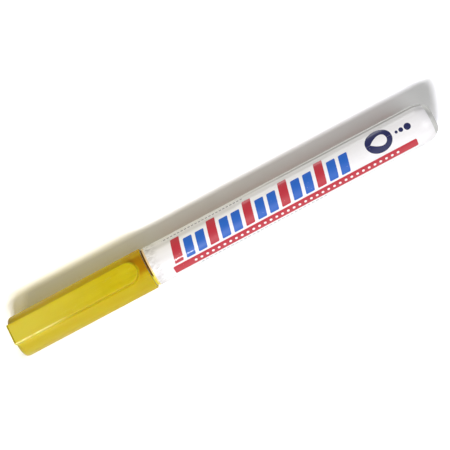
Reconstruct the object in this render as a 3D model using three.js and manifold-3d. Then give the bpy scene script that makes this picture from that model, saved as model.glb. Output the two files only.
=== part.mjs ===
// Capped paint marker, lying on its back with the cap's flat tongue up.
// Every piece is drawn about the pen's own axis: local y runs from the cap's closed end to the barrel's tail,
// local z points out of the tongue's face. The group at the end lays that axis along world +X.
import * as THREE from "three";
import { mergeVertices } from "three/addons/utils/BufferGeometryUtils.js";
import Module from "manifold-3d";

const wasm = await Module();
wasm.setup();

// Roundness: sides of a full turn on fitted pieces, and on small pieces that run with more room
const FITTED_SIDES = 32;
const SMALL_SIDES = 16;
const BALL_RINGS = 10;

// Steps of the rounded outlines
const CAP_END_STEPS = 5;
const CAP_RIM_STEPS = 2;
const TONGUE_END_STEPS = 14;
const TONGUE_EDGE_STEPS = 2;
const SHOULDER_STEPS = 5;
const TAIL_CORNER_STEPS = 3;
const FILM_SHOULDER_STEPS = 3;
const PLUG_RING_STEPS = 8;
const NIB_TIP_STEPS = 3;
const STEPS_PER_CURL = 8;
const WIRE_SIDES = 5;

// Clearances
const SEAT_GAP = 0.03;
const PRESS_GAP = 0.02;
const CAP_MOUTH_CLEARANCE = 0.1;
const CAP_BORE_CLEARANCE = 0.15;
const CAP_STOP_GAP = 0.1;
const SNAP_RIDGE_GAP = 0.04;
const CUP_SEAL_CLEARANCE = 0.08;
const CUP_MOUTH_GAP = 0.5;
const NIB_CLEARANCE = 0.1;
const STEM_CLEARANCE = 0.3;
const NIB_TO_STEM_GAP = 0.3;
const HEAD_CLEARANCE = 0.25;
const SPRING_CLEARANCE = 0.25;
const SPRING_END_GAP = 0.1;
const BALL_CLEARANCE = 0.05;

// Barrel, a drawn tube with a rounded shoulder and a small flat end
const BARREL_RADIUS = 5.9;
const BARREL_WALL = 0.5;
const BARREL_LENGTH = 93.65;
const SHOULDER_RADIUS = 7.5;
const SHOULDER_ANGLE = THREE.MathUtils.degToRad(40);
const TAIL_CORNER_RADIUS = 0.8;

// Film sleeve round the barrel, shrunk a little way over the shoulder
const FILM_THICKNESS = 0.08;
const FILM_FRONT_SETBACK = 0.5;
const FILM_SHOULDER_ANGLE = THREE.MathUtils.degToRad(28);

// Cap
const CAP_LENGTH = 44.25;
const CAP_MOUTH_WALL = 0.55;
const CAP_END_WALL = 1.5;
const CAP_END_ROUNDING = 1.5;
const CAP_RIM_ROUNDING = 0.25;
const MOUTH_GAP = 0.6;

// Raised flat tongue along the cap
const TONGUE_WIDTH = 6.44;
const TONGUE_RISE = 0.9;
const TONGUE_SETBACK = 2.7;
const TONGUE_EDGE_ROUNDING = 0.35;

// Seal cup pressed into the cap
const CUP_SPACE = 1.4;
const CUP_WALL = 0.6;
const CUP_HEADROOM = 5.4;
const CUP_END_WALL = 0.8;
const CUP_FLANGE_LENGTH = 1.0;
const CUP_REAR_RING_LENGTH = 1.2;

// Front section
const COLLAR_SETBACK = 0.15;
const COLLAR_LENGTH = 1.2;
const SPIGOT_STEP = 0.5;
const SPIGOT_LENGTH = 6.0;
const SNAP_RIDGE_LENGTH = 0.8;
const SNAP_RIDGE_OFFSET = 2.2;
const NECK_DEPTH = 0.2;
const NECK_LENGTH = 2.4;
const SEAL_RIDGE_LENGTH = 1.0;
const NOSE_LENGTH = 6.4;
const NOSE_TIP_WALL = 0.8;
const PLUG_LENGTH = 9.5;
const PLUG_WALL = 2.38;

// Coloured ring that shows between the cap and the barrel, and the round ring that seals the plug
const COLLAR_RING_THICKNESS = 0.5;
const COLLAR_RING_SETBACK = 0.2;
const RING_RADIUS = 0.38;
const RING_OFFSET = 5.0;

// Nib
const NIB_RADIUS = 1.2;
const NIB_PROTRUSION = 3.0;
const NIB_TIP_RADIUS = 0.6;
const NIB_TIP_ANGLE = THREE.MathUtils.degToRad(22.5);
const NIB_TIP_LENGTH = 1.7;

// Valve
const VALVE_SEAT_OFFSET = 0.4;
const WASHER_THICKNESS = 1.2;
const STEM_RADIUS = 0.85;
const STEM_REACH = 6.6;
const HEAD_LENGTH = 1.5;
const GUIDE_PIN_LENGTH = 3.8;
const HOUSING_WALL = 0.55;
const HOUSING_REACH = 3.4;
const HOUSING_END_WALL = 0.8;
const HOUSING_FLANGE_RADIUS = 4.2;
const HOUSING_FLANGE_LENGTH = 0.8;
const HOUSING_HOLE_RADIUS = 0.8;
const WINDOW_WIDTH = 1.6;
const WINDOW_LENGTH = 1.1;
const WINDOW_SETBACK = 0.4;
const SPRING_WIRE_RADIUS = 0.2;
const SPRING_TURNS = 7;

// Mixing balls, loose in the barrel
const BALL_RADIUS = 2.2;
const BALL_FRONT_DISTANCE = 18.5;
const BALL_REAR_DISTANCE = 18.5;

// Radii that follow from the barrel, from the outside inwards
const barrelBore = BARREL_RADIUS - BARREL_WALL;
const plugRadius = barrelBore - PRESS_GAP;
const collarRadius = BARREL_RADIUS - COLLAR_SETBACK;
const mouthBore = collarRadius + CAP_MOUTH_CLEARANCE;
const capRadius = mouthBore + CAP_MOUTH_WALL;
const spigotRadius = collarRadius - SPIGOT_STEP;
const capBore = spigotRadius + CAP_BORE_CLEARANCE;
const cupRadius = capBore - CUP_SPACE;
const cupBore = cupRadius - CUP_WALL;
const sealRidgeRadius = cupBore - CUP_SEAL_CLEARANCE;
const neckRadius = sealRidgeRadius - NECK_DEPTH;
const nibBore = NIB_RADIUS + NIB_CLEARANCE;
const valveBore = plugRadius - PLUG_WALL;
const housingRadius = valveBore - PRESS_GAP;
const housingBore = housingRadius - HOUSING_WALL;
const headRadius = housingBore - HEAD_CLEARANCE;
const springRadius = housingBore - SPRING_CLEARANCE - SPRING_WIRE_RADIUS;
const guidePinRadius = springRadius - SPRING_WIRE_RADIUS - SPRING_CLEARANCE;
const tongueHeight = capRadius + TONGUE_RISE;

// Stations along the axis, from the cap's closed end
const barrelFront = CAP_LENGTH + MOUTH_GAP;
const barrelTail = barrelFront + BARREL_LENGTH;
const shoulderLength = SHOULDER_RADIUS * Math.sin(SHOULDER_ANGLE)
  + TAIL_CORNER_RADIUS * (1 - Math.sin(SHOULDER_ANGLE));
const shoulderStart = barrelTail - shoulderLength;
const collarRingFront = barrelFront - SEAT_GAP - COLLAR_RING_THICKNESS;
const collarRear = collarRingFront - SEAT_GAP;
const collarFront = collarRear - COLLAR_LENGTH;
const spigotFront = collarFront - SPIGOT_LENGTH;
const sealRidgeRear = spigotFront - NECK_LENGTH;
const sealRidgeFront = sealRidgeRear - SEAL_RIDGE_LENGTH;
const noseTip = sealRidgeFront - NOSE_LENGTH;
const nibTip = noseTip - NIB_PROTRUSION;
const plugRear = barrelFront + PLUG_LENGTH;
const valveShoulder = barrelFront + VALVE_SEAT_OFFSET;
const stemFront = valveShoulder - STEM_REACH;
const nibRear = stemFront - NIB_TO_STEM_GAP;
const washerFront = valveShoulder + SEAT_GAP;
const washerRear = washerFront + WASHER_THICKNESS;
const housingFront = washerRear + SEAT_GAP;
const housingRear = plugRear + HOUSING_REACH;
const housingFloor = housingRear - HOUSING_END_WALL;
const headRear = housingFront + HEAD_LENGTH;
const cupMouth = spigotFront - CUP_MOUTH_GAP;
const cupFloor = nibTip - CUP_HEADROOM;
const cupRear = cupFloor - CUP_END_WALL;

// A point of a turned profile: distance from the axis, station along it
const at = (radius, station) => new THREE.Vector2(radius, station);

// Points of an arc about a centre, each angle measured from straight out towards the tail
function arc(centre, radius, from, to, steps) {
  return Array.from({ length: steps + 1 }, (_, i) => {
    const angle = from + ((to - from) * i) / steps;
    return at(centre.x + radius * Math.cos(angle), centre.y + radius * Math.sin(angle));
  });
}

// Turns a profile about the axis with a flat side facing down; nominal radii are those of the flats
function turned(profile, sides = FITTED_SIDES) {
  const halfSide = Math.PI / sides;
  const toCorners = 1 / Math.cos(halfSide);
  const points = profile.map((p) => at(p.x * toCorners, p.y));
  return new THREE.LatheGeometry(points, sides, halfSide, 2 * Math.PI);
}

// A ring's profile closes on its first point; a solid's starts and ends on the axis
const ring = (profile) => turned([...profile, profile[0]]);

// Joins and cuts closed geometries
function toSolid(geometry) {
  const bare = geometry.clone();
  bare.deleteAttribute("normal");
  bare.deleteAttribute("uv");
  const merged = mergeVertices(bare, 1e-4);
  return new wasm.Manifold(
    new wasm.Mesh({
      numProp: 3,
      vertProperties: new Float32Array(merged.attributes.position.array),
      triVerts: new Uint32Array(merged.index.array),
    }),
  );
}

function toGeometry(solid) {
  const mesh = solid.getMesh();
  const geometry = new THREE.BufferGeometry();
  geometry.setAttribute("position", new THREE.BufferAttribute(mesh.vertProperties, 3));
  geometry.setIndex(new THREE.BufferAttribute(mesh.triVerts, 1));
  geometry.computeVertexNormals();
  return geometry;
}

// Finishes
function finish(color, roughness, metalness = 0) {
  return new THREE.MeshStandardMaterial({ color, roughness, metalness });
}

const capYellow = finish(0xd2be40, 0.38);
const filmWhite = finish(0xf2f1ee, 0.35);
const aluminium = finish(0xc4c5c7, 0.35, 0.9);
const naturalPlastic = finish(0xe9e6dc, 0.5);
const greyPlastic = finish(0xd9d9d6, 0.45);
const darkRubber = finish(0x2c2620, 0.8);
const feltTip = finish(0xe6d98a, 0.95);
const steel = finish(0xb5b6b8, 0.25, 1);

const pen = new THREE.Group();

function add(name, geometry, material) {
  const mesh = new THREE.Mesh(geometry, material);
  mesh.name = name;
  pen.add(mesh);
  return mesh;
}

// Cap shell: a turned cap with a rounded closed end, joined to the tongue, then bored from its mouth
function tongue() {
  const half = TONGUE_WIDTH / 2;
  const straightEnd = CAP_LENGTH - TONGUE_SETBACK - half;
  const outline = new THREE.Shape();
  outline.moveTo(-half, 0);
  outline.lineTo(half, 0);
  outline.lineTo(half, straightEnd);
  outline.absarc(0, straightEnd, half, 0, Math.PI, false);
  outline.closePath();
  const body = new THREE.ExtrudeGeometry(outline, {
    depth: tongueHeight - 2 * TONGUE_EDGE_ROUNDING,
    curveSegments: TONGUE_END_STEPS,
    bevelThickness: TONGUE_EDGE_ROUNDING,
    bevelSize: TONGUE_EDGE_ROUNDING,
    bevelOffset: -TONGUE_EDGE_ROUNDING,
    bevelSegments: TONGUE_EDGE_STEPS,
  });
  return body.translate(0, 0, TONGUE_EDGE_ROUNDING);
}

function capShell() {
  const endCentre = at(capRadius - CAP_END_ROUNDING, CAP_END_ROUNDING);
  const rimCentre = at(capRadius - CAP_RIM_ROUNDING, CAP_LENGTH - CAP_RIM_ROUNDING);
  const endArc = arc(endCentre, CAP_END_ROUNDING, -Math.PI / 2, 0, CAP_END_STEPS);
  const rimArc = arc(rimCentre, CAP_RIM_ROUNDING, 0, Math.PI / 2, CAP_RIM_STEPS);
  const outside = turned([at(0, 0), ...endArc, ...rimArc, at(0, CAP_LENGTH)]);
  const counterboreStart = collarFront - CAP_STOP_GAP;
  const pastMouth = CAP_LENGTH + MOUTH_GAP;
  const bore = turned([
    at(0, CAP_END_WALL),
    at(capBore, CAP_END_WALL),
    at(capBore, counterboreStart),
    at(mouthBore, counterboreStart),
    at(mouthBore, pastMouth),
    at(0, pastMouth),
  ]);
  return toGeometry(toSolid(outside).add(toSolid(tongue())).subtract(toSolid(bore)));
}

add("cap_shell", capShell(), capYellow);

// Seal cup: closes over the nib; its mouth flange and rear ring are pressed into the cap's bore
function sealCup() {
  const flangeRadius = capBore - PRESS_GAP;
  const flangeRear = cupMouth - CUP_FLANGE_LENGTH;
  const rearRingEnd = cupRear + CUP_REAR_RING_LENGTH;
  return turned([
    at(0, cupRear),
    at(flangeRadius, cupRear),
    at(flangeRadius, rearRingEnd),
    at(cupRadius, rearRingEnd),
    at(cupRadius, flangeRear),
    at(flangeRadius, flangeRear),
    at(flangeRadius, cupMouth),
    at(cupBore, cupMouth),
    at(cupBore, cupFloor),
    at(0, cupFloor),
  ]);
}

add("seal_cup", sealCup(), naturalPlastic);

// Barrel: outer and inner shoulder share their arc centres, so the wall stays even
const shoulderCentre = at(BARREL_RADIUS - SHOULDER_RADIUS, shoulderStart);
const cornerCentreDistance = SHOULDER_RADIUS - TAIL_CORNER_RADIUS;
const cornerCentre = at(
  shoulderCentre.x + cornerCentreDistance * Math.cos(SHOULDER_ANGLE),
  shoulderCentre.y + cornerCentreDistance * Math.sin(SHOULDER_ANGLE),
);

function tailOutline(inset) {
  return [
    ...arc(shoulderCentre, SHOULDER_RADIUS - inset, 0, SHOULDER_ANGLE, SHOULDER_STEPS),
    ...arc(cornerCentre, TAIL_CORNER_RADIUS - inset, SHOULDER_ANGLE, Math.PI / 2, TAIL_CORNER_STEPS).slice(1),
  ];
}

function barrel() {
  return turned([
    at(0, barrelTail - BARREL_WALL),
    ...tailOutline(BARREL_WALL).reverse(),
    at(barrelBore, barrelFront),
    at(BARREL_RADIUS, barrelFront),
    ...tailOutline(0),
    at(0, barrelTail),
  ]);
}

add("barrel", barrel(), aluminium);

// Film sleeve
function film() {
  const inner = PRESS_GAP;
  const outer = inner + FILM_THICKNESS;
  const front = barrelFront + FILM_FRONT_SETBACK;
  return ring([
    at(BARREL_RADIUS + inner, front),
    at(BARREL_RADIUS + outer, front),
    ...arc(shoulderCentre, SHOULDER_RADIUS + outer, 0, FILM_SHOULDER_ANGLE, FILM_SHOULDER_STEPS),
    ...arc(shoulderCentre, SHOULDER_RADIUS + inner, FILM_SHOULDER_ANGLE, 0, FILM_SHOULDER_STEPS),
  ]);
}

add("label_film", film(), filmWhite);

// Front section: nose, seal ridge, spigot, collar and plug, bored for the nib and the valve
function frontSection() {
  const tipRadius = nibBore + NOSE_TIP_WALL;
  const ridgeRear = collarFront - SNAP_RIDGE_OFFSET;
  const ridgeFront = ridgeRear - SNAP_RIDGE_LENGTH;
  const ridgeRadius = capBore - SNAP_RIDGE_GAP;
  const grooveCentre = barrelFront + RING_OFFSET;
  const grooveHalf = RING_RADIUS + SEAT_GAP;
  const grooveRadius = plugRadius - 2 * RING_RADIUS - SEAT_GAP;
  return ring([
    at(nibBore, noseTip),
    at(tipRadius, noseTip),
    at(neckRadius, sealRidgeFront),
    at(sealRidgeRadius, sealRidgeFront + SEAL_RIDGE_LENGTH / 2),
    at(neckRadius, sealRidgeRear),
    at(neckRadius, spigotFront),
    at(spigotRadius, spigotFront),
    at(spigotRadius, ridgeFront),
    at(ridgeRadius, (ridgeFront + ridgeRear) / 2),
    at(spigotRadius, ridgeRear),
    at(spigotRadius, collarFront),
    at(collarRadius, collarFront),
    at(collarRadius, collarRear),
    at(plugRadius, collarRear),
    at(plugRadius, grooveCentre - grooveHalf),
    at(grooveRadius, grooveCentre - grooveHalf),
    at(grooveRadius, grooveCentre + grooveHalf),
    at(plugRadius, grooveCentre + grooveHalf),
    at(plugRadius, plugRear),
    at(valveBore, plugRear),
    at(valveBore, valveShoulder),
    at(nibBore, valveShoulder),
  ]);
}

add("front_section", frontSection(), greyPlastic);

// Collar ring, in the cap's colour, between the collar and the barrel's front edge
function collarRing() {
  const outer = BARREL_RADIUS - COLLAR_RING_SETBACK;
  const rear = collarRingFront + COLLAR_RING_THICKNESS;
  return ring([at(barrelBore, collarRingFront), at(outer, collarRingFront), at(outer, rear), at(barrelBore, rear)]);
}

add("collar_ring", collarRing(), capYellow);

// Plug ring, a round rubber ring in the plug's groove
function plugRing() {
  const centre = at(plugRadius - RING_RADIUS, barrelFront + RING_OFFSET);
  return turned(arc(centre, RING_RADIUS, 0, 2 * Math.PI, PLUG_RING_STEPS));
}

add("plug_ring", plugRing(), darkRubber);

// Nib: a fibre rod with a bullet tip
function nib() {
  const roundStart = at(0, nibTip + NIB_TIP_RADIUS);
  const tip = arc(roundStart, NIB_TIP_RADIUS, -Math.PI / 2, -NIB_TIP_ANGLE, NIB_TIP_STEPS).slice(1);
  return turned(
    [at(0, nibTip), ...tip, at(NIB_RADIUS, nibTip + NIB_TIP_LENGTH), at(NIB_RADIUS, nibRear), at(0, nibRear)],
    SMALL_SIDES,
  );
}

add("nib", nib(), feltTip);

// Valve washer, a rubber seat that the plunger's head closes
function valveWasher() {
  const outer = valveBore - PRESS_GAP;
  const inner = STEM_RADIUS + STEM_CLEARANCE;
  return ring([at(inner, washerFront), at(outer, washerFront), at(outer, washerRear), at(inner, washerRear)]);
}

add("valve_washer", valveWasher(), darkRubber);

// Valve plunger: front stem, sealing head and the pin that guides the spring
function valvePlunger() {
  const pinRear = headRear + GUIDE_PIN_LENGTH;
  return turned(
    [
      at(0, stemFront),
      at(STEM_RADIUS, stemFront),
      at(STEM_RADIUS, housingFront),
      at(headRadius, housingFront),
      at(headRadius, headRear),
      at(guidePinRadius, headRear),
      at(guidePinRadius, pinRear),
      at(0, pinRear),
    ],
    SMALL_SIDES,
  );
}

add("valve_plunger", valvePlunger(), naturalPlastic);

// Valve housing: a flanged cup behind the washer, with four windows that let the paint in
function valveHousing() {
  const flangeFront = plugRear + SEAT_GAP;
  const flangeRear = flangeFront + HOUSING_FLANGE_LENGTH;
  const body = ring([
    at(housingBore, housingFront),
    at(housingRadius, housingFront),
    at(housingRadius, flangeFront),
    at(HOUSING_FLANGE_RADIUS, flangeFront),
    at(HOUSING_FLANGE_RADIUS, flangeRear),
    at(housingRadius, flangeRear),
    at(housingRadius, housingRear),
    at(HOUSING_HOLE_RADIUS, housingRear),
    at(HOUSING_HOLE_RADIUS, housingFloor),
    at(housingBore, housingFloor),
  ]);
  const windowMiddle = housingFloor - WINDOW_SETBACK - WINDOW_LENGTH / 2;
  const across = 2 * HOUSING_FLANGE_RADIUS;
  const sideways = new THREE.BoxGeometry(across, WINDOW_LENGTH, WINDOW_WIDTH).translate(0, windowMiddle, 0);
  const upright = new THREE.BoxGeometry(WINDOW_WIDTH, WINDOW_LENGTH, across).translate(0, windowMiddle, 0);
  return toGeometry(toSolid(body).subtract(toSolid(sideways)).subtract(toSolid(upright)));
}

add("valve_housing", valveHousing(), naturalPlastic);

// Valve spring: one unbroken helix between the plunger's head and the housing's floor
class Helix extends THREE.Curve {
  constructor(radius, from, to, turns) {
    super();
    Object.assign(this, { radius, from, to, turns });
  }

  getPoint(t, target = new THREE.Vector3()) {
    const angle = 2 * Math.PI * this.turns * t;
    return target.set(
      this.radius * Math.cos(angle),
      this.from + (this.to - this.from) * t,
      this.radius * Math.sin(angle),
    );
  }
}

function leastGapToItself(curve, wireRadius) {
  const count = STEPS_PER_CURL * curve.turns;
  const points = curve.getPoints(count);
  let least = Infinity;
  for (let i = 0; i <= count; i += 1) {
    for (let j = i + STEPS_PER_CURL / 2; j <= count; j += 1) {
      least = Math.min(least, points[i].distanceTo(points[j]) - 2 * wireRadius);
    }
  }
  return least;
}

function valveSpring() {
  const from = headRear + SPRING_END_GAP + SPRING_WIRE_RADIUS;
  const to = housingFloor - SPRING_END_GAP - SPRING_WIRE_RADIUS;
  const path = new Helix(springRadius, from, to, SPRING_TURNS);
  console.log(`valve_spring least gap to itself ${leastGapToItself(path, SPRING_WIRE_RADIUS).toFixed(3)} mm`);
  const section = new THREE.Shape();
  section.absarc(0, 0, SPRING_WIRE_RADIUS, 0, 2 * Math.PI, false);
  return new THREE.ExtrudeGeometry(section, {
    steps: STEPS_PER_CURL * SPRING_TURNS,
    curveSegments: WIRE_SIDES,
    extrudePath: path,
  });
}

add("valve_spring", valveSpring(), steel);

// Mixing balls, resting on the barrel's lower wall
const ballHeight = -(barrelBore - BALL_RADIUS - BALL_CLEARANCE);
const ballStations = [housingRear + BALL_FRONT_DISTANCE, shoulderStart - BALL_REAR_DISTANCE];
const ballShape = () => new THREE.SphereGeometry(BALL_RADIUS, SMALL_SIDES, BALL_RINGS);
ballStations.forEach((station, i) => {
  const ball = add(`mixing_ball_${i + 1}`, ballShape(), steel);
  ball.position.set(0, station, ballHeight);
});

// Lays the pen along world +X, centred on its length, with the cap's underside at height zero
pen.rotation.z = -Math.PI / 2;
pen.position.set(-barrelTail / 2, 0, capRadius);

const markerPen = new THREE.Group();
markerPen.add(pen);

export default markerPen;
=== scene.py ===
"""A capped paint marker lying on a pale floor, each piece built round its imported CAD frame."""

import math

import bmesh
import bpy
import numpy as np
from bpy.props import FloatProperty, FloatVectorProperty, IntProperty, PointerProperty
from mathutils import Matrix, Vector


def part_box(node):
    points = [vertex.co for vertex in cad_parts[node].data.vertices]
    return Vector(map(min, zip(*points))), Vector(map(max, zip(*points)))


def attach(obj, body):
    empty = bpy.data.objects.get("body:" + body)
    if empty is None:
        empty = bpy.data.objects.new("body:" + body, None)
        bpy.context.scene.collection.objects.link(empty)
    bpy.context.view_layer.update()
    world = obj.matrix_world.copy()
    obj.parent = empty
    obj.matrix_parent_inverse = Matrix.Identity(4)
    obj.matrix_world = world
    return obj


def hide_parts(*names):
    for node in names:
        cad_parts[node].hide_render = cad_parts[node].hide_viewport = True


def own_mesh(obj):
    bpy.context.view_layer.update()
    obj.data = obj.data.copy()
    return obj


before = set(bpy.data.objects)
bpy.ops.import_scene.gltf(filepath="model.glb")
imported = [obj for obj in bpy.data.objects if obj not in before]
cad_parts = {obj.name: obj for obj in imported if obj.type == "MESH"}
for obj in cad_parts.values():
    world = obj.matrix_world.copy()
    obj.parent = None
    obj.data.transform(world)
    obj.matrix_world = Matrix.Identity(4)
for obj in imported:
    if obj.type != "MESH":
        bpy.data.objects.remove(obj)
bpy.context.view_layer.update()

bl_info = {
    "name": "Marker pen",
    "version": (1, 0, 0),
    "blender": (4, 5, 0),
    "location": "3D View > Sidebar > Marker pen",
    "description": "Builds a capped paint marker piece by piece round its CAD frame",
    "category": "Add Mesh",
}

MM = 0.001
QUARTER = math.pi / 2
WELD = 1e-7


def span(node):
    """First and last station along the pen and greatest distance from its axis of a CAD node, in millimetres."""
    low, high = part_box(node)
    return round(low.x / MM, 4), round(high.x / MM, 4), round((high.y - low.y) / 2 / MM, 4)


# Places that the frame fixes, in millimetres
AXIS_HEIGHT = round((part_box("barrel")[0].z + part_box("barrel")[1].z) / 2 / MM, 4)
CAP_END, CAP_MOUTH, CAP_RADIUS = span("cap_shell")
CUP_REAR, CUP_MOUTH, CUP_FLANGE = span("seal_cup")
TUBE_FRONT, TUBE_TAIL, TUBE_RADIUS = span("barrel")
SLEEVE_FRONT, _, SLEEVE_RADIUS = span("label_film")
NOSE_TIP, PLUG_REAR, COLLAR_RADIUS = span("front_section")


def millimetres(title, description, default, least=0.0):
    """A length property whose default is given in millimetres."""
    return FloatProperty(
        name=title, description=description, default=default * MM, min=least, unit="LENGTH", precision=5
    )


def degrees(title, description, default):
    """An angle property whose default is given in degrees."""
    return FloatProperty(name=title, description=description, default=math.radians(default), unit="ROTATION")


def light_factor(title, description, default):
    """A property that is a plain factor on a light."""
    return FloatProperty(name=title, description=description, default=default, min=0.0, max=10.0, subtype="FACTOR")


def linear(red, green, blue):
    """Linear light of a colour given as three display values from 0 to 255."""
    shares = np.array([red, green, blue]) / 255
    return tuple(np.where(shares <= 0.04045, shares / 12.92, ((shares + 0.055) / 1.055) ** 2.4))


def colour(title, description, red, green, blue):
    """A colour property whose default is given as display values from 0 to 255."""
    return FloatVectorProperty(
        name=title, description=description, default=linear(red, green, blue), size=3, min=0, max=1, subtype="COLOR"
    )


class CapSizes(bpy.types.PropertyGroup):
    """Sizes of the cap and of the flat tongue along it."""

    tongue_width: millimetres("Tongue width", "Across the flat tongue", 6.44)
    tongue_rise: millimetres("Tongue rise", "Height of the tongue's face over the round cap", 0.9)
    tongue_setback: millimetres("Tongue setback", "From the tongue's round end to the mouth", 2.7)
    edge_rounding: millimetres("Edge rounding", "Radius along the tongue's edges", 0.35)
    crease_rounding: millimetres("Crease rounding", "Fillet where the tongue meets the round cap", 0.28)
    tongue_end_rounding: millimetres("Tongue end rounding", "Radius of the tongue at the closed end", 0.3)
    end_rounding: millimetres("End rounding", "Radius of the round cap at its closed end", 1.5)
    rim_rounding: millimetres("Rim rounding", "Radius of the mouth's outer edge", 0.3)
    mouth_bore: millimetres("Mouth bore", "Radius inside the mouth", 5.85)
    bore: millimetres("Bore", "Radius inside the cap", 5.4)
    mouth_depth: millimetres("Mouth depth", "Length of the wider bore at the mouth", 1.26)
    end_wall: millimetres("End wall", "Thickness of the closed end", 1.5)


class BarrelSizes(bpy.types.PropertyGroup):
    """Sizes of the metal tube and of the film sleeve round it."""

    wall: millimetres("Wall", "Thickness of the metal tube", 0.5)
    shoulder_radius: millimetres("Shoulder radius", "Arc of the tube's tail", 7.5)
    shoulder_angle: degrees("Shoulder angle", "Turn of the tail's arc", 40)
    corner_radius: millimetres("Corner radius", "Radius round the small flat end", 0.8)
    film_thickness: millimetres("Film thickness", "Thickness of the printed sleeve", 0.08)
    film_shoulder_angle: degrees("Film shoulder angle", "How far the sleeve follows the shoulder", 28)
    wrinkle_depth: millimetres("Wrinkle depth", "Height of the creases at the sleeve's ends", 0.09)
    overlap_angle: degrees("Overlap place", "Where the sleeve's edge runs along the pen, from the tongue", -51.5)
    overlap_width: millimetres("Overlap width", "Width of the doubled film along that edge", 4.0)


class InnerSizes(bpy.types.PropertyGroup):
    """Sizes of the working parts inside the cap and the barrel."""

    nib_radius: millimetres("Nib radius", "Radius of the fibre rod", 1.2)
    nib_tip_radius: millimetres("Nib tip radius", "Radius of the rounded point", 0.6)
    nib_tip_length: millimetres("Nib tip length", "Length of the tapered point", 1.7)
    nib_bore: millimetres("Nib bore", "Radius of the hole that guides the nib", 1.3)
    valve_bore: millimetres("Valve bore", "Radius of the valve's chamber", 3.0)
    wire_radius: millimetres("Wire radius", "Half the spring wire's diameter", 0.2)
    spring_radius: millimetres("Spring radius", "From the axis to the middle of the wire", 1.98)
    spring_turns: IntProperty(name="Spring turns", description="Turns, the two closed ends included", default=7, min=4)


class PrintPlaces(bpy.types.PropertyGroup):
    """Places of the print, along the pen from the cap's closed end and round it from the tongue's middle."""

    bars_start: millimetres("Bars start", "Where the row of slanted bars starts", 51.5)
    bars_count: IntProperty(name="Bars", description="Number of slanted bars in the row", default=15, min=1)
    bars_pitch: millimetres("Bar pitch", "From one slanted bar to the next", 3.92)
    stripe_start: millimetres("Stripe start", "Where the solid stripe starts", 50.95)
    stripe_end: millimetres("Stripe end", "Where the solid stripe ends", 130.9)
    disc_place: millimetres("Disc place", "Middle of the dark oval", 120.75)
    marks_place: millimetres("Marks place", "First of the three growing dots", 126.5)


class FinishColours(bpy.types.PropertyGroup):
    """Colours of the pen's finishes."""

    cap_yellow: colour("Cap yellow", "Moulded plastic of the cap", 210, 192, 28)
    cap_shade: colour("Cap shade", "Deeper tone in the cap's flow marks", 190, 166, 4)
    # Painted shadow: the amber shade of the cap past the tongue's end, by the mouth
    cap_amber_shadow: colour("Cap amber", "Thin wall round the cap's mouth", 176, 125, 1)
    # Painted shadow and painted light of the collar ring in the gap at the mouth
    ring_shadow_brown: colour("Ring brown", "Collar ring in the gap at the mouth", 100, 66, 0)
    ring_lit_yellow: colour("Ring yellow", "Clean place on the collar ring", 243, 231, 62)
    film_white: colour("Film white", "Ground of the printed sleeve", 248, 246, 249)
    # Film grey is both real greying where the film is handled and painted shade in its creases by the mouth
    film_grey_and_crease_shade: colour("Film grey", "Handled and creased places of the sleeve", 216, 212, 212)
    print_red: colour("Print red", "Red ink", 190, 44, 60)
    print_blue: colour("Print blue", "Blue ink", 30, 98, 196)
    print_navy: colour("Print navy", "Darkest ink", 16, 22, 80)
    aluminium: colour("Aluminium", "Bare metal of the tube", 226, 226, 224)
    natural: colour("Natural plastic", "Uncoloured mouldings inside", 233, 229, 217)
    section_grey: colour("Section grey", "Moulding that holds the nib", 216, 216, 212)
    rubber: colour("Rubber", "Seals", 44, 38, 33)
    fibre: colour("Fibre", "Nib soaked with paint", 224, 206, 120)
    steel: colour("Steel", "Spring and mixing balls", 198, 199, 201)


class StageSettings(bpy.types.PropertyGroup):
    """Camera, lamps and floor."""

    camera_foot: millimetres("Camera foot", "Where along the pen the camera stands", 10, -1.0)
    camera_aim: millimetres("Camera aim", "Where along the pen the camera looks", 0.4, -1.0)
    camera_rise: millimetres("Camera rise", "Shift of the camera up the picture", 0.73, -1.0)
    camera_distance: millimetres("Camera distance", "From the pen's axis to the camera", 460)
    camera_tilt: degrees("Camera tilt", "Lean of the camera from straight overhead", 12.83)
    camera_roll: degrees("Camera roll", "Rise of the pen across the picture", 28.0)
    lens: FloatProperty(name="Lens", description="Focal length for a 36 mm sensor", default=125.2, unit="CAMERA")
    key_strength: light_factor("Key strength", "Light of the long lamp on the floor, 1 being plain white", 0.6)
    right_strength: light_factor("Right strength", "Light of the lamp in front on the right", 0.28)
    warm_strength: light_factor("Warm strength", "Light of the warm card behind the cap", 0.18)
    plain_strength: light_factor("Plain strength", "Light of the plain card behind the barrel", 0.145)
    sky_strength: light_factor("Sky strength", "What metal and gloss see of the sky", 0.32)


class MarkerPen(bpy.types.PropertyGroup):
    """All that a user would change on the marker pen."""

    cap: PointerProperty(type=CapSizes)
    barrel: PointerProperty(type=BarrelSizes)
    inner: PointerProperty(type=InnerSizes)
    places: PointerProperty(type=PrintPlaces)
    colours: PointerProperty(type=FinishColours)
    stage: PointerProperty(type=StageSettings)


def in_mm(group):
    """The lengths and angles of a property group as plain numbers, lengths in millimetres."""
    numbers = {}
    for key in group.__annotations__:
        unit = group.bl_rna.properties[key].unit
        numbers[key] = round(getattr(group, key) / MM, 4) if unit == "LENGTH" else getattr(group, key)
    return numbers


# Surfaces


def about_axis(station, radius, angle):
    """Point at a station, a distance from the pen's axis and an angle about it, from the tongue towards -Y."""
    station, radius, angle = np.broadcast_arrays(station, radius, angle)
    return np.stack([station, -radius * np.sin(angle), AXIS_HEIGHT + radius * np.cos(angle)], axis=-1)


def grid_faces(rows, columns):
    """Four-sided faces between neighbours of a grid numbered row by row."""
    number = np.arange(rows * columns).reshape(rows, columns)
    corners = (number[:-1, :-1], number[:-1, 1:], number[1:, 1:], number[1:, :-1])
    return np.stack(corners, axis=-1).reshape(-1, 4)


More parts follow.
